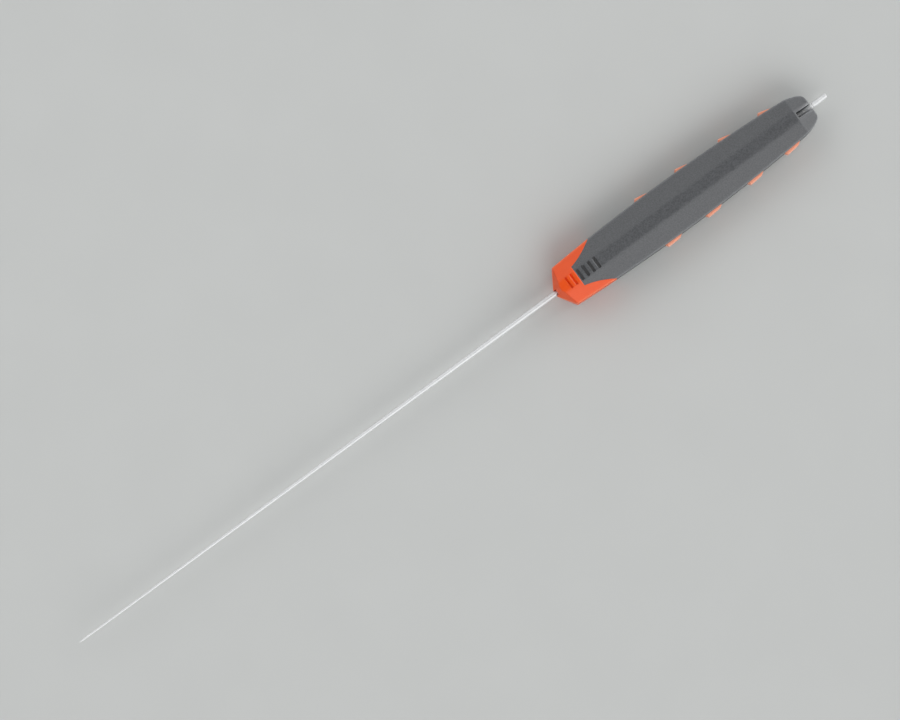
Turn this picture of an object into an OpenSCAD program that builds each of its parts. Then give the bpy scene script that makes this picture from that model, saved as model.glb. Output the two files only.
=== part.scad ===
// Hand probe for pinpointing finds in soil: a tapered steel needle that runs right through
// a two-colour moulded handle, and is clamped in it at the depth that is wanted.
// Sizes are in millimetres. The handle's own frame has its zero at the nose, on the needle's
// axis: the point is towards +X, the ribbed thumb flat towards +Z. A place along the handle
// is given as its distance back from the nose.

/* [Needle] */
// Length of the needle in front of the nose
needle_out = 265.4; // [180:0.1:340]
// Diameter of the parallel shank inside the handle
needle_d = 2.4; // [2:0.1:3]
// Diameter where the short point begins
point_d = 0.9; // [0.6:0.1:1.6]
// Length of the ground point
point_len = 2.5; // [1.5:0.1:6]
// Diameter of the blunt end of the point
point_end_d = 0.3; // [0.1:0.05:0.5]
// Length of the tail behind the handle
tail_out = 8.6; // [6:0.1:20]
// Chamfer on the end of the tail
tail_chamfer = 0.4; // [0.2:0.1:0.8]
// Distance behind the handle of the ring groove that marks the full reach
mark_out = 0.5; // [0.3:0.1:1.5]
// Width of the ring groove
mark_w = 0.6; // [0.4:0.1:1]
// Depth of the ring groove
mark_d = 0.25; // [0.15:0.05:0.3]

/* [Handle outline] */
// Length of the handle
handle_len = 142.5; // [130:0.5:165]
// Greatest width of the handle, without the finger teeth
handle_w = 24; // [22:0.5:28]
// Greatest height of the handle
handle_h = 19; // [18:0.5:23]
// Place of the greatest width behind the nose, as a share of the handle's length
swell_share = 0.456; // [0.4:0.01:0.5]
// Half the width of the thumb flat that the upper facets fall away from
ridge_y = 2.7; // [2.4:0.1:3.6]
// Half the width of the flat belly
belly_y = 4.5; // [3.5:0.1:5.5]
// Height that each sloping facet loses between the ridge and the side
facet_drop = 3.5; // [2.5:0.1:4.2]

/* [Nose and rear end] */
// Width of the nose at its two corners
nose_w = 20; // [18:0.5:21]
// Distance of the nose's corners behind its front face
nose_len = 5.2; // [4:0.1:8]
// Width of the nose's small front face
nose_face_w = 3.4; // [3.2:0.1:5]
// Height of the nose's small front face
nose_face_h = 3.2; // [3.2:0.1:5]
// Length of the open mouth over the needle in the nose's tip
mouth_len = 1.1; // [0.8:0.1:1.6]
// Length over which the nose rises to full height
nose_rise_len = 3; // [2:0.1:4]
// Half the width of the nose's ridge at its top
crown_y = 0.8; // [0.4:0.1:1.6]
// Width of the rear end face
rear_w = 9; // [8:0.1:11]
// Length over which each side rounds in to the rear end face, as a quarter of an ellipse
rear_round_len = 16; // [12:0.5:20]
// Length of the sloping facet at the rear end
rear_facet_len = 8.7; // [6:0.1:10]
// Height of the rear end face
rear_face_h = 5.4; // [5:0.1:8]

/* [Soft grip] */
// Thickness of the soft grip over the core
grip_t = 2; // [1.8:0.1:2.4]
// Distance of the grip's front edge behind the nose
grip_front = 12.6; // [11:0.1:15]
// Half the width of the grip's flat front edge
grip_front_y = 5.1; // [4:0.1:6]
// Slope at which the grip's swept edges leave its front corners
edge_slope = 0.23; // [0.1:0.01:0.4]
// How much that slope grows for each millimetre along the handle
edge_bend = 0.031; // [0.02:0.001:0.05]

/* [Thumb ribs] */
// Number of narrow slots across the nose
nose_slot_count = 2; // [0:1:2]
// Distance of the first narrow slot behind the nose
nose_slot_from = 7.6; // [6.5:0.1:8]
// Distance from one narrow slot to the next
nose_slot_pitch = 2.7; // [2:0.1:3]
// Width of a narrow slot along the handle
nose_slot_w = 1; // [0.8:0.1:1.4]
// Number of slots across the front of the grip
slot_count = 4; // [2:1:6]
// Distance from the grip's front edge to the first slot
slot_lead = 0.45; // [0.3:0.05:1]
// Distance from one slot to the next
slot_pitch = 3.1; // [2.6:0.1:4]
// Width of a slot along the handle
slot_w = 1.45; // [1:0.05:2]
// Length of a slot across the thumb flat
slot_len = 6; // [4:0.1:6.4]
// Depth of a slot below the thumb flat
slot_d = 0.9; // [0.5:0.1:1]

/* [Finger teeth] */
// Places of the teeth's middles behind the nose, as shares of the handle's length
tooth_shares = [0.402, 0.559, 0.726, 0.876];
// Length of a tooth on the right
tooth_len = 9.1; // [7:0.1:10]
// Length of a tooth on the left, where it falls away sooner
left_tooth_len = 8.2; // [6:0.1:9]
// Height of the teeth and of the strip that joins them
tooth_h = 8; // [6:0.5:9]
// How far a tooth's crest stands out of the grip
tooth_out = 1.4; // [0.8:0.05:2]
// Length of a tooth's steep front
tooth_front = 0.9; // [0.4:0.1:1.2]
// Length of a tooth's crest on the right
tooth_crest = 6.5; // [4:0.1:7]
// Length of a tooth's crest on the left
left_tooth_crest = 2.2; // [1:0.1:4]
// Height that a tooth's crest loses towards its back
crest_fall = 0.3; // [0.1:0.05:0.5]
// Depth of a tooth's back end below the grip's surface
tooth_back = 0.15; // [0.05:0.05:0.4]
// Thickness of the strip that joins the teeth
strip_t = 0.8; // [0.6:0.1:1]
// Length of strip before the first tooth and after the last
strip_end = 1; // [0.5:0.1:2]

/* [Needle guides] */
// Thickness of the nose's wall in front of the seal
nose_wall = 2.5; // [2:0.1:3]
// Thickness of the wiper seals
seal_t = 1.8; // [1.6:0.1:2.2]
// Diameter of the guide bushes
bush_d = 6.2; // [5.6:0.1:6.6]
// Length of the nose bush
bush_len = 10; // [8:0.5:12]
// Length of the tail bush
tail_bush_len = 8; // [6:0.5:10]
// Distance of the notch behind the start of the rear facet
notch_lead = 0.8; // [0.5:0.1:2]

/* [Needle clamp] */
// Length of the clamp block
block_len = 12; // [10:0.5:14]
// Width of the clamp block
block_w = 8; // [7:0.5:9]
// Height of the clamp block
block_h = 8; // [7:0.5:9]
// Diameter of the clamp screw
clamp_screw_d = 3.9; // [3.4:0.1:4.4]
// Depth of the clamp screw's end above the core's belly
key_depth = 0.8; // [0.4:0.1:1.2]
// Width across the flats of the clamp screw's hexagon socket
hex_af = 2; // [1.5:0.1:2.2]
// Depth of the hexagon socket
hex_depth = 2; // [1.5:0.1:2.4]
// Thickness of the brass pad under the clamp screw
pad_t = 1.2; // [0.8:0.1:1.6]
// Gap that the slackened pad leaves to the needle
clamp_gap = 0.1; // [0.05:0.01:0.2]

/* [Stop collar] */
// Diameter of the stop collar on the shank
collar_d = 7; // [6:0.1:7.4]
// Length of the stop collar
collar_len = 5; // [4:0.5:7]
// Gap between the collar and the ends of its chamber
stop_gap = 0.15; // [0.1:0.05:0.3]
// Gap round the collar in its chamber
chamber_gap = 0.4; // [0.3:0.05:0.6]
// Diameter of the pin that holds the collar
collar_pin_d = 1; // [0.8:0.1:1.2]

/* [Case screws] */
// Distance of the front screws behind the nose
front_screw_s = 23; // [22:0.5:25]
// Diameter of a screw's thread
screw_d = 2.5; // [2:0.1:2.8]
// Length of a screw under its head
screw_len = 8; // [7:0.5:8.5]
// Diameter of a screw's head
screw_head_d = 4.4; // [4:0.1:4.8]
// Height of a screw's head
screw_head_h = 1.8; // [1.4:0.1:2]
// Depth of the head's seat above the core's belly
seat_depth = 3.3; // [2.8:0.1:3.6]
// Diameter of a threaded insert
insert_d = 3.6; // [3.4:0.1:4]
// Length of a threaded insert
insert_len = 4; // [3:0.5:4]
// Diameter of the pegs that line up the two core halves
peg_d = 2.4; // [2:0.1:2.6]
// Length of the pegs
peg_len = 2; // [1.5:0.1:3]

/* [Fits] */
// Radial clearance of running and seated fits
fit = 0.05; // [0.03:0.01:0.08]
// Clearance of loose holes
slack = 0.15; // [0.1:0.05:0.25]
// Radial gap round the needle in the core's channel
channel_gap = 0.3; // [0.2:0.05:0.5]
// Least thickness of plastic between two pockets
web = 2.5; // [2:0.1:2.8]
// Thickness of plastic outside a screw head
screw_wall = 1.5; // [1.2:0.1:2]

/* [Hidden] */
$fn = 64;
swell_fn = 1440;
curve_steps = 12;
over = 1;

// Places of the handle's frame in the part's frame: the part is centred on its length,
// and lies with its belly on the surface
shift_x = (handle_len + tail_out - needle_out) / 2;
shift_z = handle_h / 2;

needle_r = needle_d / 2;
reach = 2 * handle_w;

// The swell of each side is an arc through the widest place and the nose's corner
swell_at = swell_share * handle_len;
side_drop = (handle_w - nose_w) / 2;
side_r = (pow(swell_at - nose_len, 2) + pow(side_drop, 2)) / (2 * side_drop);
function half_width(s) = sqrt(pow(side_r, 2) - pow(s - swell_at, 2)) - side_r + handle_w / 2;

// Facet slopes, and the heights at which an inset section meets its ridge and its side
function facet_angle(ridge) = atan(facet_drop / (handle_w / 2 - ridge));
function ridge_at(ridge, inset) =
    ridge - inset * (1 / cos(facet_angle(ridge)) - 1) / tan(facet_angle(ridge));
function side_at(ridge, inset) =
    handle_h / 2 - (handle_w / 2 - inset - ridge) * tan(facet_angle(ridge)) - inset / cos(facet_angle(ridge));

// Finger teeth
tooth_at = [for (share = tooth_shares) share * handle_len];
function side_len(side) = side > 0 ? tooth_len : left_tooth_len;
function side_crest(side) = side > 0 ? tooth_crest : left_tooth_crest;

// First slot of the grip, and the place where the grip's swept edges are well outside the handle
slot_from = grip_front + slot_lead + slot_w / 2;
edge_rise = handle_w / 2 + over - grip_front_y;
edge_run = (sqrt(pow(edge_slope, 2) + 2 * edge_bend * edge_rise) - edge_slope) / edge_bend;
function edge_y(run) = grip_front_y + edge_slope * run + edge_bend * run * run / 2;

// Rear facet and notch: behind the core's end the handle is soft grip right through
rear_facet_s = handle_len - rear_facet_len;
notch_s = rear_facet_s + notch_lead;
notch_w = needle_d + 2 * slack;
core_end = notch_s - over;

// Pockets along the needle, from the nose and from the notch
seal_s = nose_wall;
bush_s = seal_s + seal_t;
bush_end = bush_s + bush_len;
head_r = screw_head_d / 2 + slack;
block_s = front_screw_s + head_r + web;
block_mid = block_s + block_len / 2;
chamber_s = block_s + block_len + web;
tail_seal_s = notch_s - web - seal_t;
tail_bush_s = tail_seal_s - tail_bush_len;
rear_screw_s = tail_bush_s - web - head_r;
chamber_end = rear_screw_s - head_r - web;
chamber_r = collar_d / 2 + chamber_gap;
collar_s = chamber_s + stop_gap;
collar_mid = collar_s + collar_len / 2;

// Screws, pegs and lightening pockets
function screw_y(s) = half_width(s) - grip_t - screw_head_d / 2 - screw_wall;
screw_places = [for (s = [front_screw_s, rear_screw_s], side = [-1, 1]) [-s, side * screw_y(s)]];
seat_z = -(handle_h / 2 - grip_t - seat_depth);
insert_z = slack;
peg_s = (chamber_s + chamber_end) / 2;
peg_y = (chamber_r + half_width(peg_s) - grip_t - strip_t) / 2;
pocket_y = [chamber_r + 1.2, half_width(chamber_end) - grip_t - strip_t - 1];
pocket_z = 4;
pocket_margin = 3;

// The clamp screw stands under the needle
pad_top = -(needle_r + clamp_gap);
screw_top = pad_top - pad_t;
screw_low = -(handle_h / 2 - grip_t - key_depth);
bore_r = clamp_screw_d / 2 + fit;

// Moves a piece from the handle's frame to the part's frame
module placed() { translate([shift_x, 0, shift_z]) children(); }

// A cylinder along the handle from one distance behind the nose to another
module along(from, to, r) {
    translate([-to, 0, 0]) rotate([0, 90, 0]) cylinder(r = r, h = to - from);
}

// The half of space on the far side of a plane through a point
module beyond(point, normal) {
    n = normal / norm(normal);
    translate(point) rotate([0, acos(n.z), atan2(n.y, n.x)])
        translate([-reach, -reach, 0]) cube(2 * reach);
}

// One curved side of the handle, as a great upright cylinder
module side_swell(side, inset) {
    translate([-swell_at, side * (handle_w / 2 - side_r), -reach])
        cylinder(r = side_r - inset, h = 2 * reach, $fn = swell_fn);
}

// Plan of the two ends: the pointed nose and the rounded rear
module plan_ends(inset) {
    nose_x = -nose_len * (reach - nose_face_w / 2) / (nose_w / 2 - nose_face_w / 2);
    round_s = handle_len - rear_round_len;
    round_y = half_width(round_s) - rear_w / 2;
    half = concat(
        [[-inset, nose_face_w / 2], [nose_x - inset, reach], [-round_s, reach]],
        [for (i = [0:curve_steps]) [
            -round_s - (rear_round_len - inset) * sin(90 * i / curve_steps),
            rear_w / 2 + round_y * cos(90 * i / curve_steps) - inset]]);
    points = concat(half, [for (i = [len(half) - 1:-1:0]) [half[i].x, -half[i].y]]);
    translate([0, 0, -reach]) linear_extrude(2 * reach) polygon(points);
}

// Side view of the two ends: the rise of the nose and the rear facets
module side_ends(inset) {
    nose_run = nose_rise_len / (handle_h / 2 - nose_face_h / 2);
    rear_run = rear_facet_len / (handle_h / 2 - rear_face_h / 2);
    half = [
        [-inset, nose_face_h / 2],
        [-inset - nose_run * (reach - nose_face_h / 2), reach],
        [-handle_len + rear_run * (reach - rear_face_h / 2), reach],
        [-handle_len, rear_face_h / 2],
    ];
    points = concat(half, [for (i = [len(half) - 1:-1:0]) [half[i].x, -half[i].y]]);
    translate([0, reach, 0]) rotate([90, 0, 0]) linear_extrude(2 * reach) polygon(points);
}

// Eight-sided cross-section, carried along the handle
module section_bar(inset) {
    side = handle_w / 2 - inset;
    half = [
        [ridge_at(ridge_y, inset), handle_h / 2 - inset],
        [side, side_at(ridge_y, inset)],
        [side, -side_at(belly_y, inset)],
        [ridge_at(belly_y, inset), inset - handle_h / 2],
    ];
    points = concat(half, [for (i = [len(half) - 1:-1:0]) [-half[i].x, half[i].y]]);
    rotate([90, 0, 90]) translate([0, 0, -handle_len - reach])
        linear_extrude(handle_len + 2 * reach) polygon(points);
}

// Four slanting facets that sharpen the nose towards the needle
module nose_facets() {
    for (up = [-1, 1], side = [-1, 1]) {
        face = [0, side * nose_face_w / 2, up * nose_face_h / 2];
        corner = [-nose_len, side * nose_w / 2, up * side_at(ridge_y, 0)];
        crown = [-nose_rise_len, side * crown_y, up * handle_h / 2];
        beyond(face, side * up * cross(corner - face, crown - face));
    }
}

// Four facets that fall away to the rear end from a line straight across each sloping facet
module rear_facets() {
    for (up = [-1, 1], side = [-1, 1]) {
        ridge = up > 0 ? ridge_y : belly_y;
        inner = [-rear_facet_s, side * ridge, up * handle_h / 2];
        outer = [-rear_facet_s, side * handle_w / 2, up * side_at(ridge, 0)];
        low = [-handle_len, side * ridge, up * rear_face_h / 2];
        beyond(inner, side * up * cross(outer - inner, low - inner));
    }
}

// The handle's outer form before its facets, shrunk by an inset
module envelope(inset = 0) {
    intersection() {
        side_swell(-1, inset);
        side_swell(1, inset);
        plan_ends(inset);
        side_ends(inset);
        section_bar(inset);
    }
}

// Everything in front of the grip's edge, which is straight across the thumb flat and then
// sweeps back to the sides on two parabolas
module nose_zone() {
    half = concat(
        [[over, reach], [-grip_front - edge_run, reach]],
        [for (i = [curve_steps:-1:0])
            let (run = edge_run * i / curve_steps) [-grip_front - run, edge_y(run)]]);
    points = concat(half, [for (i = [len(half) - 1:-1:0]) [half[i].x, -half[i].y]]);
    translate([0, 0, -reach]) linear_extrude(2 * reach) polygon(points);
}

// One slot with round ends across the thumb flat
module slot(s, width) {
    translate([-s, 0, handle_h / 2 - slot_d]) linear_extrude(handle_h / 2) hull()
        for (end = [-1, 1]) translate([0, end * (slot_len - width) / 2]) circle(d = width, $fn = 32);
}

// Slots across the nose and the front of the grip, which leave ribs for the thumb
module thumb_slots() {
    if (nose_slot_count > 0)
        for (i = [0:nose_slot_count - 1]) slot(nose_slot_from + i * nose_slot_pitch, nose_slot_w);
    for (i = [0:slot_count - 1]) slot(slot_from + i * slot_pitch, slot_w);
}

// The handle's outer form with its facets and ribs
module handle_form() {
    difference() {
        envelope();
        nose_facets();
        rear_facets();
        thumb_slots();
    }
}

// The core's form under the grip, from inside the nose to the core's end
module inner_form() {
    intersection() {
        envelope(grip_t);
        translate([-core_end, -reach, -reach]) cube([core_end - grip_front / 2, 2 * reach, 2 * reach]);
    }
}

// Open mouth over the needle in the nose's tip
module nose_mouth() {
    translate([-mouth_len, -notch_w / 2, -over]) cube([mouth_len + over, notch_w, handle_h]);
}

// Open notch over the needle at the rear end
module tail_notch() {
    translate([-handle_len - over, -notch_w / 2, -over])
        cube([handle_len + over - notch_s, notch_w, handle_h]);
}

// Channel, pockets and chamber along the needle
module needle_pockets() {
    along(-over, handle_len + over, needle_r + channel_gap);
    along(seal_s, bush_end, bush_d / 2 + fit);
    along(chamber_s, chamber_end, chamber_r);
    along(tail_bush_s, tail_seal_s + seal_t, bush_d / 2 + fit);
    translate([-block_mid, 0, 0]) cube([block_len, block_w, block_h] + fit * [2, 2, 2], center = true);
}

// Lightening pockets in the parting face, on both sides of the chamber
module core_pockets() {
    spans = [
        [chamber_s, peg_s - pocket_margin],
        [peg_s + pocket_margin, chamber_end - pocket_margin],
    ];
    for (span = spans, side = [-1, 1])
        translate([-span[1], side > 0 ? pocket_y[0] : -pocket_y[1], -pocket_z])
            cube([span[1] - span[0], pocket_y[1] - pocket_y[0], 2 * pocket_z]);
}

// A straight-sided band that runs from tooth to tooth along one side, between two depths
// under the grip's surface
module strip_band(side, outer, inner, grow = 0) {
    run = tooth_len / 2 + strip_end + grow;
    stations = concat([tooth_at[0] - run], tooth_at, [tooth_at[len(tooth_at) - 1] + run]);
    last = len(stations) - 1;
    height = tooth_h + 2 * grow;
    points = concat(
        [for (s = stations) [-s, side * (half_width(s) - outer)]],
        [for (i = [last:-1:0]) [-stations[i], side * (half_width(stations[i]) - inner)]]);
    translate([0, 0, -height / 2]) linear_extrude(height) polygon(points);
}

// One tooth, seen in plan: a steep front, a long crest and a fall to the back
module tooth(side, s) {
    front = s - tooth_len / 2;
    crest = front + tooth_front;
    back = front + side_len(side);
    root = grip_t + strip_t / 2;
    outline = [
        [front, -root],
        [front, 0],
        [crest, tooth_out],
        [crest + side_crest(side), tooth_out - crest_fall],
        [back, -tooth_back],
        [back, -root],
    ];
    translate([0, 0, -tooth_h / 2]) linear_extrude(tooth_h)
        polygon([for (p = outline) [-p.x, side * (half_width(p.x) + p.y)]]);
}

// Windows through the grip for the teeth of one side
module tooth_windows(side) {
    for (s = tooth_at)
        translate([tooth_len / 2 - s - side_len(side) - fit, side > 0 ? 0 : -reach, -tooth_h / 2 - fit])
            cube([side_len(side) + 2 * fit, reach, tooth_h + 2 * fit]);
}

// Orange core before it is split: full size in the nose, and inset under the grip
module core_form() {
    difference() {
        union() {
            inner_form();
            intersection() {
                handle_form();
                nose_zone();
            }
        }
        needle_pockets();
        core_pockets();
        for (side = [-1, 1]) strip_band(side, grip_t - over, grip_t + strip_t + fit, fit);
    }
}

// Soft grip before it is split: the skin behind the arrow-shaped edge
module grip_form() {
    difference() {
        handle_form();
        inner_form();
        nose_zone();
        along(core_end - over, handle_len + over, notch_w / 2);
        tooth_windows(-1);
        tooth_windows(1);
    }
}

// Everything above, or below, the parting plane
module upper_space() {
    translate([-handle_len - reach, -reach, 0]) cube([handle_len + 2 * reach, 2 * reach, reach]);
}
module lower_space() { mirror([0, 0, 1]) upper_space(); }

// Hole of the clamp screw's key, up to the clamp block
module key_hole() {
    translate([-block_mid, 0, -handle_h]) cylinder(r = bore_r + slack, h = handle_h);
}

// Holes for the case screws' heads
module head_holes() {
    for (p = screw_places) translate([p.x, p.y, -handle_h]) cylinder(r = head_r, h = handle_h + seat_z);
}

// Blind holes for the threaded inserts
module insert_holes() {
    for (p = screw_places) translate([p.x, p.y, -over])
        cylinder(d = insert_d + 2 * fit, h = over + insert_z + insert_len + slack);
}

module needle() {
    mark = -handle_len - mark_out;
    tail = -handle_len - tail_out;
    profile = [
        [0, needle_out],
        [point_end_d / 2, needle_out],
        [point_d / 2, needle_out - point_len],
        [needle_r, 0],
        [needle_r, mark],
        [needle_r - mark_d, mark],
        [needle_r - mark_d, mark - mark_w],
        [needle_r, mark - mark_w],
        [needle_r, tail + tail_chamfer],
        [needle_r - tail_chamfer, tail],
        [0, tail],
    ];
    color("lightgray") placed() difference() {
        rotate([0, 90, 0]) rotate_extrude() polygon(profile);
        translate([-collar_mid, 0, -needle_d]) cylinder(d = collar_pin_d + 2 * fit, h = 2 * needle_d);
    }
}

module stop_collar() {
    color("gray") placed() difference() {
        along(collar_s, collar_s + collar_len, collar_d / 2);
        along(collar_s - over, collar_s + collar_len + over, needle_r + fit);
        translate([-collar_mid, 0, -collar_d]) cylinder(d = collar_pin_d + 2 * fit, h = 2 * collar_d);
    }
}

module collar_pin() {
    color("dimgray") placed() translate([-collar_mid, 0, -collar_d / 2 + slack])
        cylinder(d = collar_pin_d, h = collar_d - 2 * slack);
}

module core_upper() {
    color("orangered") placed() {
        difference() {
            intersection() {
                core_form();
                upper_space();
            }
            nose_mouth();
            tail_notch();
            insert_holes();
        }
        for (side = [-1, 1]) translate([-peg_s, side * peg_y, -peg_len])
            cylinder(d = peg_d, h = peg_len + over);
    }
}

module core_lower() {
    color("orangered") placed() difference() {
        intersection() {
            core_form();
            lower_space();
        }
        key_hole();
        head_holes();
        for (p = screw_places) translate([p.x, p.y, -handle_h])
            cylinder(d = screw_d + 2 * slack, h = 2 * handle_h);
        for (side = [-1, 1]) translate([-peg_s, side * peg_y, -peg_len - slack])
            cylinder(d = peg_d + 2 * fit, h = peg_len + 2 * over);
    }
}

module grip_upper() {
    color("dimgray") placed() difference() {
        intersection() {
            grip_form();
            upper_space();
        }
        tail_notch();
    }
}

module grip_lower() {
    color("dimgray") placed() difference() {
        intersection() {
            grip_form();
            lower_space();
        }
        key_hole();
        head_holes();
    }
}

// The teeth of one side on their strip, between the core and the grip
module finger_teeth(side) {
    color("coral") placed() {
        strip_band(side, grip_t + fit, grip_t + strip_t);
        for (s = tooth_at) tooth(side, s);
    }
}
module finger_teeth_left() { finger_teeth(-1); }
module finger_teeth_right() { finger_teeth(1); }

// A round wiper ring on the needle
module wiper(s) {
    section = seal_t / 2 - fit;
    color("black") placed() translate([-s - seal_t / 2, 0, 0]) rotate([0, 90, 0])
        rotate_extrude() translate([bush_d / 2 - section, 0]) circle(r = section, $fn = 32);
}
module nose_seal() { wiper(seal_s); }
module tail_seal() { wiper(tail_seal_s); }

// A plain guide bush for the needle
module bush(s, length) {
    color("goldenrod") placed() difference() {
        along(s + fit, s + length - fit, bush_d / 2);
        along(s - over, s + length + over, needle_r + fit);
    }
}
module nose_bush() { bush(bush_s, bush_len); }
module tail_bush() { bush(tail_bush_s, tail_bush_len); }

module clamp_block() {
    color("goldenrod") placed() difference() {
        translate([-block_mid, 0, 0]) cube([block_len, block_w, block_h], center = true);
        along(block_s - over, block_s + block_len + over, needle_r + fit);
        translate([-block_mid, 0, -block_h]) cylinder(r = bore_r, h = block_h);
    }
}

module clamp_pad() {
    color("gold") placed() translate([-block_mid, 0, screw_top]) cylinder(r = bore_r - 2 * fit, h = pad_t);
}

module clamp_screw() {
    color("silver") placed() translate([-block_mid, 0, screw_low]) difference() {
        cylinder(d = clamp_screw_d, h = screw_top - screw_low);
        translate([0, 0, -over]) cylinder(d = hex_af / cos(30), h = hex_depth + over, $fn = 6);
    }
}

module case_inserts() {
    color("goldenrod") placed() for (p = screw_places) translate([p.x, p.y, insert_z]) difference() {
        cylinder(d = insert_d, h = insert_len);
        translate([0, 0, -over]) cylinder(d = screw_d + 2 * fit, h = insert_len + 2 * over);
    }
}

// Pan-head screws with a cross recess, put in from the belly
module case_screws() {
    recess_w = screw_head_d / 6;
    recess_len = screw_head_d * 0.7;
    recess_d = screw_head_h * 0.6;
    color("silver") placed() for (p = screw_places) translate([p.x, p.y, seat_z]) difference() {
        union() {
            translate([0, 0, -screw_head_h]) cylinder(d = screw_head_d, h = screw_head_h);
            cylinder(d = screw_d, h = screw_len);
        }
        for (turn = [0, 90]) rotate(turn) translate([0, 0, -screw_head_h])
            cube([recess_len, recess_w, 2 * recess_d], center = true);
    }
}

needle();
stop_collar();
collar_pin();
core_upper();
core_lower();
grip_upper();
grip_lower();
finger_teeth_left();
finger_teeth_right();
nose_seal();
nose_bush();
clamp_block();
clamp_pad();
clamp_screw();
tail_bush();
tail_seal();
case_inserts();
case_screws();
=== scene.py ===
"""Looks of a hand probe: a ground steel needle through a two-colour moulded handle.

Shapes are worked out in millimetres in the handle's own frame, which has its zero at the nose on the
needle's axis: s runs back from the nose, y to the right of the thumb flat, z up out of the flat.
"""

import bmesh
import bpy
import numpy as np
from mathutils import Matrix, Vector


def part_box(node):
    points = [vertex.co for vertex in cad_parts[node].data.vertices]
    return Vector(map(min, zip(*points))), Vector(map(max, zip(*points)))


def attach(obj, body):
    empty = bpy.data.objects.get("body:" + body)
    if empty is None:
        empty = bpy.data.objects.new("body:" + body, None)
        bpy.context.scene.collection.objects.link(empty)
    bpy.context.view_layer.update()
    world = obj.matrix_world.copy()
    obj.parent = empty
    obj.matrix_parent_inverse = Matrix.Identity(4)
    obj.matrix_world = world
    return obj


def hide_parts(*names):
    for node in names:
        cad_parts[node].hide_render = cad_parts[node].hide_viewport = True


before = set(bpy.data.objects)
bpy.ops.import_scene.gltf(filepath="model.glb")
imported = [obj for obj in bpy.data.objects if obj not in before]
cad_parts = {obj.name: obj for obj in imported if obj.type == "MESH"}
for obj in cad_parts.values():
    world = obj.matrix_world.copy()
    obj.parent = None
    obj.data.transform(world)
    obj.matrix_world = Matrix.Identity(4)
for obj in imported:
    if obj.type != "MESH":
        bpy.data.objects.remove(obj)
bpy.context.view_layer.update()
MM = 0.001

# Places of the handle and the needle, read from the frame
nose_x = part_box("core_upper")[1][0] / MM
rear_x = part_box("grip_upper")[0][0] / MM
belly_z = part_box("grip_lower")[0][2] / MM
needle_low, needle_high = [np.array(corner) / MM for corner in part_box("needle")]
axis_z = (needle_low[2] + needle_high[2]) / 2
handle_len = nose_x - rear_x
half_h = axis_z - belly_z

# Section of the handle
half_w = 12.0
ridge_y = 2.7
belly_y = 4.5
facet_drop = 3.5
swell_at = 0.456 * handle_len

# Nose and rear end
nose_len = 5.2
nose_half_w = 10.0
nose_face_y = 1.7
nose_face_z = 1.6
nose_rise_len = 3.0
crown_y = 0.8
rear_facet_len = 8.7
rear_face_z = 2.7
rear_face_y = 4.5
rear_round_len = 16.0
notch_lead = 0.8
notch_half = 1.5
# Gain of the painted light on the rear notch's walls
notch_painted_light = 1.8

# Softness of the moulded edges
ridge_power = 62.0
edge_power = 48.0
skin_inset = 0.04
end_gap = 0.03
end_round = 0.9
end_round_share = 0.98
seam_depth = 0.18
seam_half = 0.2

# Reach of the paler edges, scuffing and a painted highlight together, and of the painted shade and light in
# slots and holes
wear_and_highlight_reach = 0.5
nose_edge_gain = 2.4
painted_recess_from = 0.25
painted_recess_depth = 0.6
painted_recess_s = (5.0, 134.5)
painted_recess_fade = 3.5

# Finger teeth
tooth_places = np.array([0.402, 0.559, 0.726, 0.876]) * handle_len
tooth_len = 9.1
left_tooth_len = 8.2
tooth_half_h = 4.0
tooth_out = 1.4
tooth_sink_share = 0.1
tooth_front = 0.9
tooth_crest = 6.5
left_tooth_crest = 2.2
crest_fall = 0.3
tooth_back = 0.15
tooth_round = 0.1
tooth_edge_drop = 0.6
tooth_edge_reach = 0.35
grip_t = 2.0
strip_t = 0.8
strip_end = 1.0

# Needle
needle_r = 1.2
point_r = 0.45
point_len = 2.5
point_end_r = 0.12
point_fullness = 1.3
shank_s = (4.0, 140.0)
tail_round = 0.5
groove_out = 0.5
groove_w = 0.6
groove_d = 0.25
groove_fullness = 0.7

# Fineness of the surfaces: points round each one, and the turn in degrees past which an edge is crisp
handle_around = 320
tooth_across = 25
needle_around = 48
moulded_crisp = 32
teeth_crisp = 40
ground_crisp = 40

# Distance in metres within which the loose points of a CAD node are one
weld_m = 1e-6


def soft_least(values, blend):
    """Smooth minimum: minus the blend times the logarithm of the summed exponentials."""
    stack = np.stack(values)
    least = stack.min(axis=0)
    return least - blend * np.log(np.exp((least - stack) / blend).sum(axis=0))


def half_width(s):
    """Half width of the swelling handle: an arc through its widest place and the nose's corner."""
    drop = half_w - nose_half_w
    radius = ((swell_at - nose_len) ** 2 + drop ** 2) / (2 * drop)
    return half_w - (s - swell_at) ** 2 / (2 * radius)


def wall_width(s):
    """Half width with the rear end: the lesser of the swell and a quarter ellipse in to the rear face."""
    round_s = handle_len - rear_round_len
    share = np.clip((s - round_s) / rear_round_len, 0, 1)
    ellipse = rear_face_y + (half_width(round_s) - rear_face_y) * np.sqrt(1 - share ** 2)
    return np.where(s < round_s, half_width(s), np.minimum(half_width(s), ellipse))


def plane_through(a, b, c):
    """Normal and offset of the plane through three points, with the normal away from the axis."""
    a, b, c = np.array(a), np.array(b), np.array(c)
    normal = np.cross(b - a, c - a)
    outward = np.sign(normal[1:] @ (a + b + c)[1:])
    return normal * outward, a @ normal * outward


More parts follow.
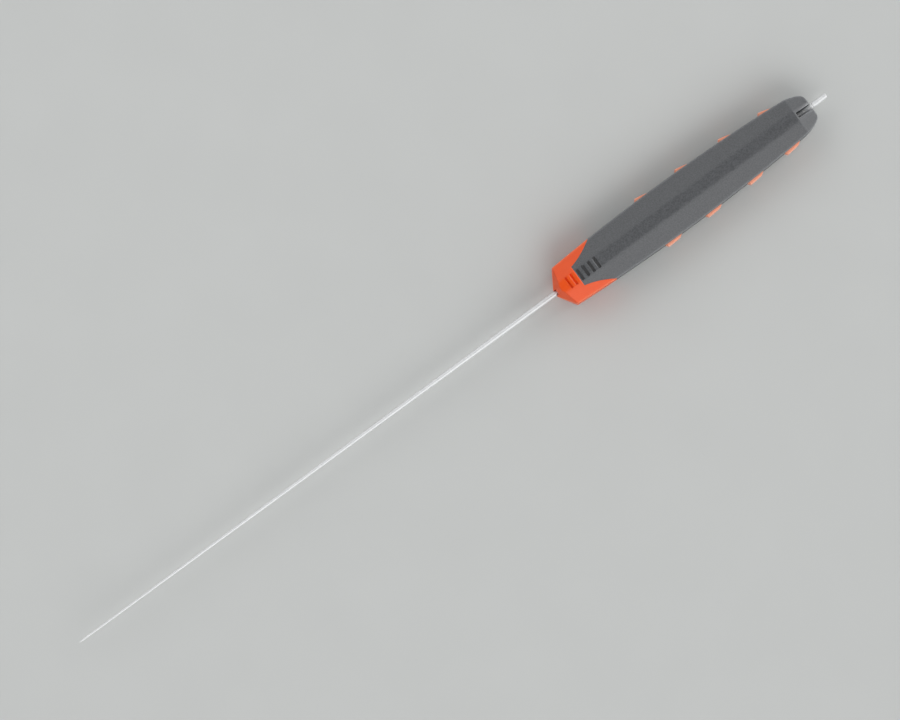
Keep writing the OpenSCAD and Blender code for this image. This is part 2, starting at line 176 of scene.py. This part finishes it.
def handle_planes():
    """The handle's flat facets: top, belly and roofs, the slopes at its ends, and the nose's flanks."""
    roofs = [(np.array([0, 0, 1.0]), half_h), (np.array([0, 0, -1.0]), half_h)]
    ends = []
    flanks = []
    rear_s = handle_len - rear_facet_len
    for up, ridge in ((1, ridge_y), (-1, belly_y)):
        side_z = up * (half_h - facet_drop)
        top_z = up * half_h
        rise = ((0, 0, up * nose_face_z), (0, 1, up * nose_face_z), (nose_rise_len, 0, top_z))
        ends.append(plane_through(*rise))
        for side in (-1, 1):
            outer = side * half_w
            inner = side * ridge
            face = (0, side * nose_face_y, up * nose_face_z)
            corner = (nose_len, side * nose_half_w, side_z)
            crown = (nose_rise_len, side * crown_y, top_z)
            low = (handle_len, inner, up * rear_face_z)
            roofs.append(plane_through((0, inner, top_z), (0, outer, side_z), (1, outer, side_z)))
            ends.append(plane_through(face, corner, crown))
            ends.append(plane_through((rear_s, inner, top_z), (rear_s, outer, side_z), low))
    for side in (-1, 1):
        face = side * nose_face_y
        flanks.append(plane_through((0, face, 0), (0, face, 1), (nose_len, side * nose_half_w, 0)))
    return roofs, ends, flanks


def handle_skin():
    """The handle's soft-edged outer surface as rings of points.

    At each place s and angle round the axis, the reach of every facet is the distance from the axis to its
    plane. The surface's distance is a soft minimum of the reaches: their inverses to a high power are
    summed, and the sum's root is inverted, first for the top and the roofs and then with the sides and the
    ends. The rear rim is rounded by a quarter circle, and a fine seam is drawn in where the halves meet.
    """
    # Rings lie closest at the nose and the rear end, where the facets turn
    nose_zone, slot_zone, grip_zone = 7, 26, 131
    rim_s = handle_len - end_round
    quarter = np.linspace(0, np.pi / 2, 8)[1:-1]
    s = np.concatenate([
        np.linspace(end_gap, nose_zone, 56),
        np.linspace(nose_zone, slot_zone, 28)[1:],
        np.linspace(slot_zone, grip_zone, 72)[1:],
        np.linspace(grip_zone, rim_s, 52)[1:],
        rim_s + (end_round - end_gap) * np.sin(quarter),
        [handle_len - end_gap],
    ])[:, None]
    # Even angles, with the seam's own points in place of those beside it
    seam = seam_half / half_w * np.array([-2, -1, -0.3, 0.3, 1, 2])
    beside_seam = 0.02
    even = np.linspace(-np.pi / 2, 1.5 * np.pi, handle_around, endpoint=False)
    even = even[np.abs(np.sin(even)) >= beside_seam]
    angle = np.sort(np.concatenate([even, seam, np.pi + seam]))[None, :]
    across, up = np.cos(angle), np.sin(angle)
    roofs, ends, flanks = handle_planes()
    inverse = [np.maximum(n[1] * across + n[2] * up, 0) / (d - n[0] * s) for n, d in roofs]
    roof = (np.stack(np.broadcast_arrays(*inverse)) ** ridge_power).sum(axis=0)
    roof = roof ** (edge_power / ridge_power)
    inverse = [np.maximum(n[1] * across + n[2] * up, 0) / (d - n[0] * s) for n, d in ends + flanks]
    inverse.append(np.abs(across) / wall_width(s))
    sides = (np.stack(np.broadcast_arrays(*inverse)) ** edge_power).sum(axis=0)
    reach = (roof + sides) ** (-1 / edge_power) - skin_inset
    into_end = np.clip((s - handle_len + end_round) / end_round, 0, 1)
    reach = reach - end_round * (1 - np.sqrt(1 - end_round_share * into_end ** 2))
    reach = reach - seam_depth * np.exp(-(reach * up / seam_half) ** 2)
    return np.stack(np.broadcast_arrays(s, reach * across, reach * up), axis=-1)


def teeth_skin(side):
    """Finger teeth and the strip they stand on as rings of points.

    Each ring lies across the strip at one place s. Its outer edge follows the strip, or where a tooth is,
    a soft minimum of three lines in plan: a steep front, a long crest and a fall to the back. The
    tooth's upper and lower edges are rounded off by lowering it towards them.
    """
    length, crest_len = (tooth_len, tooth_crest) if side > 0 else (left_tooth_len, left_tooth_crest)
    # Rings lie closest over the steep front
    front_zone = 1.2
    front = np.linspace(0, front_zone, 13)
    local = np.concatenate([[0], front, np.linspace(front_zone, length, 38)[1:], [length]])
    fronts = tooth_places - tooth_len / 2
    s = (fronts[:, None] + local).ravel()
    t = np.tile(local, len(fronts))
    s = np.concatenate([[fronts[0] - strip_end], s, [fronts[-1] + tooth_len + strip_end]])
    rise = (t / tooth_front - tooth_sink_share) * tooth_out
    fall_at = tooth_front + crest_len
    fall_from = tooth_out - crest_fall
    crest = tooth_out - (t - tooth_front) * crest_fall / crest_len
    fall = fall_from - (t - fall_at) * (fall_from + tooth_back) / (length - fall_at)
    out = soft_least([rise, crest, fall], tooth_round)
    on_tooth = np.tile(np.arange(len(local)) % (len(local) - 1) > 0, len(fronts))
    out = np.concatenate([[-grip_t], np.where(on_tooth, out, -grip_t), [-grip_t]])[:, None]
    z = tooth_half_h * np.sin(np.linspace(-np.pi / 2, np.pi / 2, tooth_across))[None, :]
    to_edge = tooth_half_h - np.abs(z)
    lowered = tooth_edge_drop * np.exp(-to_edge / tooth_edge_reach) * (out > -grip_t)
    y_front = half_width(s)[:, None] + out - lowered
    y_back = np.broadcast_to(half_width(s)[:, None] - grip_t - strip_t, (len(s), 2))
    y = side * np.concatenate([y_front, y_back], axis=1)
    z = np.concatenate([z, [[tooth_half_h, -tooth_half_h]]], axis=1)
    return np.stack(np.broadcast_arrays(s[:, None], y, z), axis=-1)


def needle_skin():
    """The needle turned about its axis: a radius for each place, carried round a circle.

    The shank is parallel as far as the nose, tapers evenly in front of it to the short ground point,
    and ends in a quarter-round tail with one ring groove behind the handle.
    """
    tip_s, tail_s = nose_x - needle_high[0], nose_x - needle_low[0]
    groove_from = handle_len + groove_out
    quarter = np.linspace(0, np.pi / 2, 10)
    point_s = tip_s + point_len * (1 - np.cos(quarter))
    point = point_end_r + (point_r - point_end_r) * np.sin(quarter) ** point_fullness
    taper_s = np.linspace(point_s[-1], 0, 90)[1:]
    taper = point_r + (needle_r - point_r) * (taper_s - point_s[-1]) / -point_s[-1]
    plain_s = np.linspace(*shank_s, 40)
    groove_share = np.linspace(0, 1, 9)
    groove_s = groove_from + groove_w * groove_share
    groove = needle_r - groove_d * np.sin(np.pi * groove_share) ** groove_fullness
    tail = tail_s - tail_round + tail_round * np.sin(quarter)
    tail_radius = needle_r - tail_round + tail_round * np.cos(quarter)
    s = np.concatenate([point_s, taper_s, plain_s, groove_s, tail])
    radius = np.concatenate([point, taper, np.full_like(plain_s, needle_r), groove, tail_radius])
    angle = np.linspace(0, 2 * np.pi, needle_around, endpoint=False)
    y, z = radius[:, None] * np.cos(angle), radius[:, None] * np.sin(angle)
    return np.stack(np.broadcast_arrays(s[:, None], y, z), axis=-1)


def closed_mesh(name, rings):
    """Join rings of points into a closed tube, with a middle point that shuts each end."""
    count, around = rings.shape[:2]
    ends = np.stack([rings[0].mean(axis=0), rings[-1].mean(axis=0)])
    points = np.concatenate([rings.reshape(-1, 3), ends])
    placed = np.stack([nose_x - points[:, 0], points[:, 1], points[:, 2] + axis_z], axis=1) * MM
    here = np.arange(count * around).reshape(count, around)
    beside = np.roll(here, -1, axis=1)
    quads = np.stack([here[:-1], beside[:-1], beside[1:], here[1:]], axis=-1).reshape(-1, 4)
    first, last = count * around, count * around + 1
    front = np.stack([np.full(around, first), beside[0], here[0]], axis=-1)
    rear = np.stack([np.full(around, last), here[-1], beside[-1]], axis=-1)
    a, b, c = placed[quads[:, 0]], placed[quads[:, 1]], placed[quads[:, 2]]
    if np.einsum("ij,ij->i", a, np.cross(b, c)).sum() < 0:
        quads, front, rear = quads[:, ::-1], front[:, ::-1], rear[:, ::-1]
    mesh = bpy.data.meshes.new(name)
    mesh.from_pydata(placed.tolist(), [], quads.tolist() + front.tolist() + rear.tolist())
    return mesh


def shade(mesh, degrees):
    """Shade a mesh smooth, with every edge that turns by more than the angle left crisp."""
    mesh.polygons.foreach_set("use_smooth", np.ones(len(mesh.polygons), dtype=bool))
    mesh.set_sharp_from_angle(angle=np.radians(degrees))
    mesh.update()


def add_piece(name, mesh, body, slot, *nodes):
    """Link a piece that stands for CAD nodes, and tie it to its body. The slot is not used."""
    piece = bpy.data.objects.new(name, mesh)
    bpy.context.scene.collection.objects.link(piece)
    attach(piece, body)
    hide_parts(*nodes)
    return piece


def softened(node, form):
    """A CAD node's copy, trimmed to the soft-edged form: its cuts stay and its edges round off."""
    work = bmesh.new()
    work.from_mesh(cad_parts[node].data)
    bmesh.ops.remove_doubles(work, verts=work.verts, dist=weld_m)
    merged = bpy.data.meshes.new(node + "_merged")
    work.to_mesh(merged)
    work.free()
    merged.materials.clear()
    solid = bpy.data.objects.new(node + "_merged", merged)
    bpy.context.scene.collection.objects.link(solid)
    trim = solid.modifiers.new("soft_edges", "BOOLEAN")
    trim.operation = "INTERSECT"
    trim.solver = "MANIFOLD"
    trim.object = form
    graph = bpy.context.evaluated_depsgraph_get()
    mesh = bpy.data.meshes.new_from_object(solid.evaluated_get(graph))
    mesh.name = node
    bpy.data.objects.remove(solid)
    bpy.data.meshes.remove(merged)
    shade(mesh, moulded_crisp)
    return mesh


def handle_points(mesh):
    """Places s, y and z of a mesh's points in the handle's frame."""
    points = np.empty(len(mesh.vertices) * 3)
    mesh.vertices.foreach_get("co", points)
    x, y, z = points.reshape(-1, 3).T / MM
    return nose_x - x, y, z - axis_z


def store(mesh, name, values):
    """Keep one number for each point of a mesh, for its material to read."""
    mesh.attributes.new(name, "FLOAT", "POINT").data.foreach_set("value", values)


def mark_handle(mesh):
    """Store the paler edges along the handle's outline and the painted recess tone in its slots and holes.

    One gap is that from a point to the nearest facet, the other that to the nearest upright wall. The paler
    edges are a bell curve of the two together, partly scuffing and partly a painted highlight; the gaps
    count for more at the nose, where facets and walls meet at a shallow angle. The rear notch is painted
    lighter and lighter towards its open end, painted light that lifts the shade in it. The recess tone
    rises with the lesser gap, and fades out at the open ends; the grey paints it as shade, the orange as
    brighter, redder light.
    """
    s, y, z = handle_points(mesh)
    roofs, ends, flanks = handle_planes()
    facets = [(d - n[0] * s - n[1] * y - n[2] * z) / np.linalg.norm(n) for n, d in roofs + ends]
    walls = [(d - n[0] * s - n[1] * y - n[2] * z) / np.linalg.norm(n) for n, d in flanks]
    to_facet = np.stack(facets).min(axis=0)
    to_wall = np.stack(walls + [wall_width(s) - np.abs(y), handle_len - s]).min(axis=0)
    # Paler edges: partly scuffing, partly a painted highlight
    reach = np.where(s < nose_len, wear_and_highlight_reach / nose_edge_gain, wear_and_highlight_reach)
    edges = np.exp(-(to_facet ** 2 + to_wall ** 2) / reach ** 2)
    # Painted light: the rear notch's walls are painted lighter towards its open end
    notch_s = handle_len - rear_facet_len + notch_lead
    notch = np.clip((s - notch_s) / (handle_len - notch_s), 0, 1) * (np.abs(y) < notch_half)
    store(mesh, "wear_and_painted_light", np.maximum(edges, notch_painted_light * notch))
    # Painted recess tone: the grey paints it as shade, the orange as brighter, redder light
    depth = np.clip((np.minimum(to_facet, to_wall) - painted_recess_from) / painted_recess_depth, 0, 1)
    inside = np.minimum(s - painted_recess_s[0], painted_recess_s[1] - s)
    store(mesh, "painted_recess_tone", depth * np.clip(inside / painted_recess_fade, 0, 1))


def mark_teeth(mesh):
    """Store the teeth's paler crests, part scuffing and part painted highlight: the square of the height
    over the grip.
    """
    s, y, _ = handle_points(mesh)
    height = np.clip((np.abs(y) - half_width(s)) / tooth_out, 0, 1)
    store(mesh, "wear_and_painted_light", height ** 2)


form_mesh = closed_mesh("handle_form", handle_skin())
form = bpy.data.objects.new("handle_form", form_mesh)
bpy.context.scene.collection.objects.link(form)
core_pieces = []
grip_pieces = []
for node, slot, pieces in (
    ("core_upper", "orange_plastic", core_pieces),
    ("core_lower", "orange_plastic", core_pieces),
    ("grip_upper", "grey_rubber", grip_pieces),
    ("grip_lower", "grey_rubber", grip_pieces),
):
    mesh = softened(node, form)
    mark_handle(mesh)
    pieces.append(add_piece(node + "_moulding", mesh, "handle", slot, node))
bpy.data.objects.remove(form)
bpy.data.meshes.remove(form_mesh)

teeth_pieces = []
for node, side in (("finger_teeth_left", -1), ("finger_teeth_right", 1)):
    mesh = closed_mesh(node, teeth_skin(side))
    shade(mesh, teeth_crisp)
    mark_teeth(mesh)
    teeth_pieces.append(add_piece(node + "_moulding", mesh, "handle", "orange_plastic", node))

needle_mesh = closed_mesh("needle", needle_skin())
shade(needle_mesh, ground_crisp)
needle = add_piece("needle_ground", needle_mesh, "needle", "ground_steel", "needle")


def linear(code):
    """Linear red, green, blue and full alpha of an sRGB hex colour."""
    value = np.array([int(code[i:i + 2], 16) for i in (1, 3, 5)]) / 255
    level = np.where(value <= 0.04045, value / 12.92, ((value + 0.055) / 1.055) ** 2.4)
    return (*level, 1.0)


def per_mm(size):
    """Scale of a pattern whose patches are the given number of millimetres across."""
    return 1 / (size * MM)


def feed(tree, node, inputs):
    """Give a node's inputs their values, or a link where a socket is given."""
    for name, value in inputs.items():
        if isinstance(value, bpy.types.NodeSocket):
            tree.links.new(value, node.inputs[name])
        else:
            node.inputs[name].default_value = value


def put(tree, kind, inputs, **settings):
    """Add a node with its settings and its inputs, and give its outputs."""
    node = tree.nodes.new(kind)
    for name, value in settings.items():
        setattr(node, name, value)
    feed(tree, node, inputs)
    return node.outputs


# Sockets of a Mix node that blends colours: its share, its two colours and its result
SHARE, FIRST, SECOND, RESULT = 0, 6, 7, 2


def start_material(name):
    """A new node material, its tree, its shader and its Object coordinates."""
    material = bpy.data.materials.new(name)
    material.use_nodes = True
    tree = material.node_tree
    place = put(tree, "ShaderNodeTexCoord", {})["Object"]
    return material, tree, tree.nodes["Principled BSDF"], place


def moulded_elastomer():
    """Grey thermoplastic elastomer from a spark-eroded mould.

    It gives the eye a dull sheen broken by a fine pitted grain, paler edges that are partly scuffing and
    partly a painted highlight, painted light in the rear notch and painted shade in the slots and holes.
    The grain is drawn at 0.55 mm, coarser than it is, so that it shows.
    """
    material, tree, shader, place = start_material("moulded_grey_elastomer")
    grain = put(tree, "ShaderNodeTexNoise", {"Vector": place, "Scale": per_mm(0.55), "Detail": 2})["Fac"]
    pits = put(tree, "ShaderNodeMapRange", {"Value": grain, "From Min": 0.35, "From Max": 0.65})["Result"]
    flow = put(tree, "ShaderNodeTexNoise", {"Vector": place, "Scale": per_mm(9), "Detail": 3})["Fac"]
    wear_and_light = put(tree, "ShaderNodeAttribute", {}, attribute_name="wear_and_painted_light")["Fac"]
    painted_recess_tone = put(tree, "ShaderNodeAttribute", {}, attribute_name="painted_recess_tone")["Fac"]
    worn_and_lit = put(tree, "ShaderNodeMath", {0: wear_and_light, 1: grain}, operation="MULTIPLY")["Value"]
    painted_recess_share = put(tree, "ShaderNodeMath", {0: painted_recess_tone, 1: flow}, operation="MULTIPLY")["Value"]
    deep = put(tree, "ShaderNodeMix", {
        SHARE: flow, FIRST: linear("#434446"), SECOND: linear("#4C4D4F"),
    }, data_type="RGBA")[RESULT]
    body = put(tree, "ShaderNodeMix", {
        SHARE: pits, FIRST: deep, SECOND: linear("#57585A"),
    }, data_type="RGBA")[RESULT]
    # Paler edges: partly scuffing, partly a painted highlight, and painted light on the rear notch's walls
    body = put(tree, "ShaderNodeMix", {
        SHARE: worn_and_lit, FIRST: body, SECOND: linear("#9A9C9E"),
    }, data_type="RGBA")[RESULT]
    # Painted shade: darker in the slots and holes
    body = put(tree, "ShaderNodeMix", {
        SHARE: painted_recess_share, FIRST: body, SECOND: linear("#403E3D"),
    }, data_type="RGBA")[RESULT]
    dull = put(tree, "ShaderNodeMapRange", {"Value": pits, "To Min": 0.35, "To Max": 0.47})["Result"]
    bump = put(tree, "ShaderNodeBump", {"Height": pits, "Strength": 0.6, "Distance": 0.05 * MM})["Normal"]
    feed(tree, shader, {"Base Color": body, "Roughness": dull, "Normal": bump, "IOR": 1.5})
    return material


def moulded_abs(name, deep, light, rubbed_and_lit):
    """Orange ABS from a fine-textured mould.

    It gives the eye a dull shine on a saturated colour, paler edges that are partly scuffing and partly a
    painted highlight, and painted light that makes the slots brighter and redder.
    Its texture is drawn at 0.6 mm, coarser than it is, so that it shows.
    """
    material, tree, shader, place = start_material(name)
    fine = put(tree, "ShaderNodeTexNoise", {"Vector": place, "Scale": per_mm(0.6), "Detail": 3})["Fac"]
    flow = put(tree, "ShaderNodeTexNoise", {"Vector": place, "Scale": per_mm(6), "Detail": 2})["Fac"]
    wear_and_light = put(tree, "ShaderNodeAttribute", {}, attribute_name="wear_and_painted_light")["Fac"]
    painted_recess_tone = put(tree, "ShaderNodeAttribute", {}, attribute_name="painted_recess_tone")["Fac"]
    worn_and_lit = put(tree, "ShaderNodeMath", {0: wear_and_light, 1: fine}, operation="MULTIPLY")["Value"]
    painted_recess_share = put(tree, "ShaderNodeMath", {0: painted_recess_tone, 1: flow}, operation="MULTIPLY")["Value"]
    body = put(tree, "ShaderNodeMix", {
        SHARE: flow, FIRST: linear(deep), SECOND: linear(light),
    }, data_type="RGBA")[RESULT]
    # Paler edges: partly scuffing, partly a painted highlight
    body = put(tree, "ShaderNodeMix", {
        SHARE: worn_and_lit, FIRST: body, SECOND: linear(rubbed_and_lit),
    }, data_type="RGBA")[RESULT]
    # Painted light: brighter and redder in the slots and holes
    body = put(tree, "ShaderNodeMix", {
        SHARE: painted_recess_share, FIRST: body, SECOND: linear("#FF4C10"),
    }, data_type="RGBA")[RESULT]
    dull = put(tree, "ShaderNodeMapRange", {
        "Value": fine, "From Min": 0.3, "From Max": 0.7, "To Min": 0.36, "To Max": 0.46,
    })["Result"]
    bump = put(tree, "ShaderNodeBump", {"Height": fine, "Strength": 0.5, "Distance": 0.08 * MM})["Normal"]
    feed(tree, shader, {"Base Color": body, "Roughness": dull, "Normal": bump})
    feed(tree, shader, {"IOR": 1.53, "Specular IOR Level": 0.4})
    return material


def ground_steel():
    """Hardened steel ground between centres: pale and satin, with fine rings of grinding marks round it.

    The marks are drawn 0.8 mm apart, coarser than they are, so that they show.
    """
    material, tree, shader, place = start_material("ground_hardened_steel")
    # Stretched across the axis, so that the marks run round the needle
    rings = put(tree, "ShaderNodeMapping", {"Vector": place, "Scale": (1, 0.02, 0.02)})["Vector"]
    marks = put(tree, "ShaderNodeTexNoise", {"Vector": rings, "Scale": per_mm(0.8), "Detail": 3})["Fac"]
    body = put(tree, "ShaderNodeMix", {
        SHARE: marks, FIRST: linear("#D4D5D6"), SECOND: linear("#F0F0EF"),
    }, data_type="RGBA")[RESULT]
    dull = put(tree, "ShaderNodeMapRange", {
        "Value": marks, "From Min": 0.3, "From Max": 0.7, "To Min": 0.58, "To Max": 0.68,
    })["Result"]
    bump = put(tree, "ShaderNodeBump", {"Height": marks, "Strength": 0.3, "Distance": 0.006 * MM})["Normal"]
    feed(tree, shader, {"Base Color": body, "Metallic": 1.0, "Roughness": dull, "Normal": bump})
    return material


def machined_metal(name, dark, light, smooth, rough, mark_mm):
    """A small turned, milled or plated metal part: colour and gloss a little uneven from its finish.

    The marks of the finish are drawn coarser than they are, so that they show.
    """
    material, tree, shader, place = start_material(name)
    marks = put(tree, "ShaderNodeTexNoise", {"Vector": place, "Scale": per_mm(mark_mm), "Detail": 3})["Fac"]
    body = put(tree, "ShaderNodeMix", {
        SHARE: marks, FIRST: linear(dark), SECOND: linear(light),
    }, data_type="RGBA")[RESULT]
    dull = put(tree, "ShaderNodeMapRange", {
        "Value": marks, "From Min": 0.3, "From Max": 0.7, "To Min": smooth, "To Max": rough,
    })["Result"]
    bump = put(tree, "ShaderNodeBump", {"Height": marks, "Strength": 0.3, "Distance": 0.01 * MM})["Normal"]
    feed(tree, shader, {"Base Color": body, "Metallic": 1.0, "Roughness": dull, "Normal": bump})
    return material


def nitrile_rubber():
    """Black nitrile rubber, moulded and trimmed: dull black with a powdery bloom."""
    material, tree, shader, place = start_material("moulded_nitrile_rubber")
    bloom = put(tree, "ShaderNodeTexNoise", {"Vector": place, "Scale": per_mm(0.8), "Detail": 3})["Fac"]
    body = put(tree, "ShaderNodeMix", {
        SHARE: bloom, FIRST: linear("#151516"), SECOND: linear("#303031"),
    }, data_type="RGBA")[RESULT]
    dull = put(tree, "ShaderNodeMapRange", {
        "Value": bloom, "From Min": 0.3, "From Max": 0.7, "To Min": 0.6, "To Max": 0.8,
    })["Result"]
    bump = put(tree, "ShaderNodeBump", {"Height": bloom, "Strength": 0.4, "Distance": 0.02 * MM})["Normal"]
    feed(tree, shader, {"Base Color": body, "Roughness": dull, "Normal": bump, "IOR": 1.52})
    return material


def pale_paper():
    """Matt pale grey paper under the probe: an even surface with a faint cloudiness."""
    material, tree, shader, place = start_material("matt_pale_paper")
    cloud = put(tree, "ShaderNodeTexNoise", {"Vector": place, "Scale": per_mm(40), "Detail": 2})["Fac"]
    body = put(tree, "ShaderNodeMix", {
        SHARE: cloud, FIRST: linear("#BABBB9"), SECOND: linear("#BEBFBD"),
    }, data_type="RGBA")[RESULT]
    feed(tree, shader, {"Base Color": body, "Roughness": 0.9})
    return material


orange = moulded_abs("moulded_orange_abs", deep="#DB4808", light="#E3500C", rubbed_and_lit="#F09A72")
# The teeth take a paler copy of the orange: painted light, as if their edges caught it
painted_lit_orange = moulded_abs("moulded_orange_abs_painted_paler", deep="#E08666", light="#E89272", rubbed_and_lit="#F2C0AA")
brass = machined_metal("turned_brass", "#B9923F", "#CFA955", smooth=0.25, rough=0.42, mark_mm=0.6)
turned = machined_metal("turned_bright_steel", "#B4B6B8", "#C6C8C9", smooth=0.25, rough=0.4, mark_mm=0.6)
blackened = machined_metal(
    "blackened_alloy_steel", "#2B2C2E", "#3A3B3D", smooth=0.35, rough=0.5, mark_mm=0.7,
)
plated = machined_metal("zinc_plated_steel", "#B9BCBE", "#CDD0D0", smooth=0.28, rough=0.42, mark_mm=0.8)
rubber = nitrile_rubber()
for pieces, material in (
    (grip_pieces, moulded_elastomer()),
    (core_pieces, orange),
    (teeth_pieces, painted_lit_orange),
    ([needle], ground_steel()),
):
    for piece in pieces:
        piece.data.materials.clear()
        piece.data.materials.append(material)
for node, material in (
    ("stop_collar", turned),
    ("collar_pin", turned),
    ("nose_seal", rubber),
    ("tail_seal", rubber),
    ("nose_bush", brass),
    ("tail_bush", brass),
    ("clamp_block", brass),
    ("clamp_pad", brass),
    ("case_inserts", brass),
    ("clamp_screw", blackened),
    ("case_screws", plated),
):
    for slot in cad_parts[node].material_slots:
        slot.material = material

# Camera: down on the thumb flat, leaning a little to the right, turned and shifted as in the photograph
PHOTO_W, PHOTO_H = 900, 720
mm_per_px = 0.45
tip_px, tail_px = np.array([79.6, 642.5]), np.array([826.1, 95.0])
lean = np.radians(2.5)
focal = 200.0
sensor = 36.0
# Directions in the picture of the needle's point and of the handle's right side
along = (tip_px - tail_px) / np.linalg.norm(tip_px - tail_px)
across = np.array([along[1], -along[0]])
offset = (np.array([PHOTO_W, PHOTO_H]) / 2 - (tip_px + tail_px) / 2) * mm_per_px * MM
target = Vector((offset @ along, offset @ across, axis_z * MM))
back = Vector((0, np.sin(lean), np.cos(lean)))
right = Vector((along[0], across[0], 0))
right = (right - right.dot(back) * back).normalized()
up = back.cross(right)
distance = PHOTO_W * mm_per_px * MM * focal / sensor
seat = target + distance * back
lens = bpy.data.cameras.new("camera")
lens.lens = focal
lens.sensor_width = sensor
lens.clip_end = 20
camera = bpy.data.objects.new("camera", lens)
camera.matrix_world = Matrix((
    (right[0], up[0], back[0], seat[0]),
    (right[1], up[1], back[1], seat[1]),
    (right[2], up[2], back[2], seat[2]),
    (0, 0, 0, 1),
))
bpy.context.scene.collection.objects.link(camera)
bpy.context.scene.camera = camera

# Pale floor under the probe
floor_half = 4.0
floor_gap = 0.2
floor_z = (belly_z - floor_gap) * MM
floor_mesh = bpy.data.meshes.new("floor")
floor_corners = [
    (-floor_half, -floor_half, floor_z),
    (floor_half, -floor_half, floor_z),
    (floor_half, floor_half, floor_z),
    (-floor_half, floor_half, floor_z),
]
floor_mesh.from_pydata(floor_corners, [], [(0, 1, 2, 3)])
floor_mesh.materials.append(pale_paper())
floor = bpy.data.objects.new("floor", floor_mesh)
bpy.context.scene.collection.objects.link(floor)


def far_lamp(name, toward, spread, strength):
    """A wide lamp far off in a direction, with its spread in degrees as seen from the probe."""
    lamp = bpy.data.lights.new(name, "SUN")
    lamp.angle = np.radians(spread)
    lamp.energy = strength
    holder = bpy.data.objects.new(name, lamp)
    holder.rotation_euler = Vector(toward).to_track_quat("Z", "Y").to_euler()
    bpy.context.scene.collection.objects.link(holder)


# Wide lamps at both sides and behind, in a pale surround that is dimmer overhead and in front
far_lamp("right_side", (0.15, 0.7, 0.7), spread=46, strength=0.97)
far_lamp("left_side", (0.15, -0.7, 0.7), spread=46, strength=0.38)
far_lamp("behind", (-0.94, 0.1, 0.32), spread=56, strength=1.45)
world = bpy.data.worlds.new("surround")
world.use_nodes = True
sky = world.node_tree
heading = put(sky, "ShaderNodeTexCoord", {})["Generated"]
split = put(sky, "ShaderNodeSeparateXYZ", {"Vector": heading})
rise = put(sky, "ShaderNodeMapRange", {
    "Value": split["Z"], "From Min": 0.72, "From Max": 0.92, "To Min": 1.0, "To Max": 0.02,
})["Result"]
fore = put(sky, "ShaderNodeMapRange", {
    "Value": split["X"], "From Min": -1.0, "From Max": 1.0, "To Min": 1.15, "To Max": 0.85,
})["Result"]
level = put(sky, "ShaderNodeMath", {0: rise, 1: fore}, operation="MULTIPLY")["Value"]
feed(sky, sky.nodes["Background"], {"Color": linear("#F2F4F6"), "Strength": level})
bpy.context.scene.world = world
bpy.context.scene.view_settings.view_transform = "Standard"
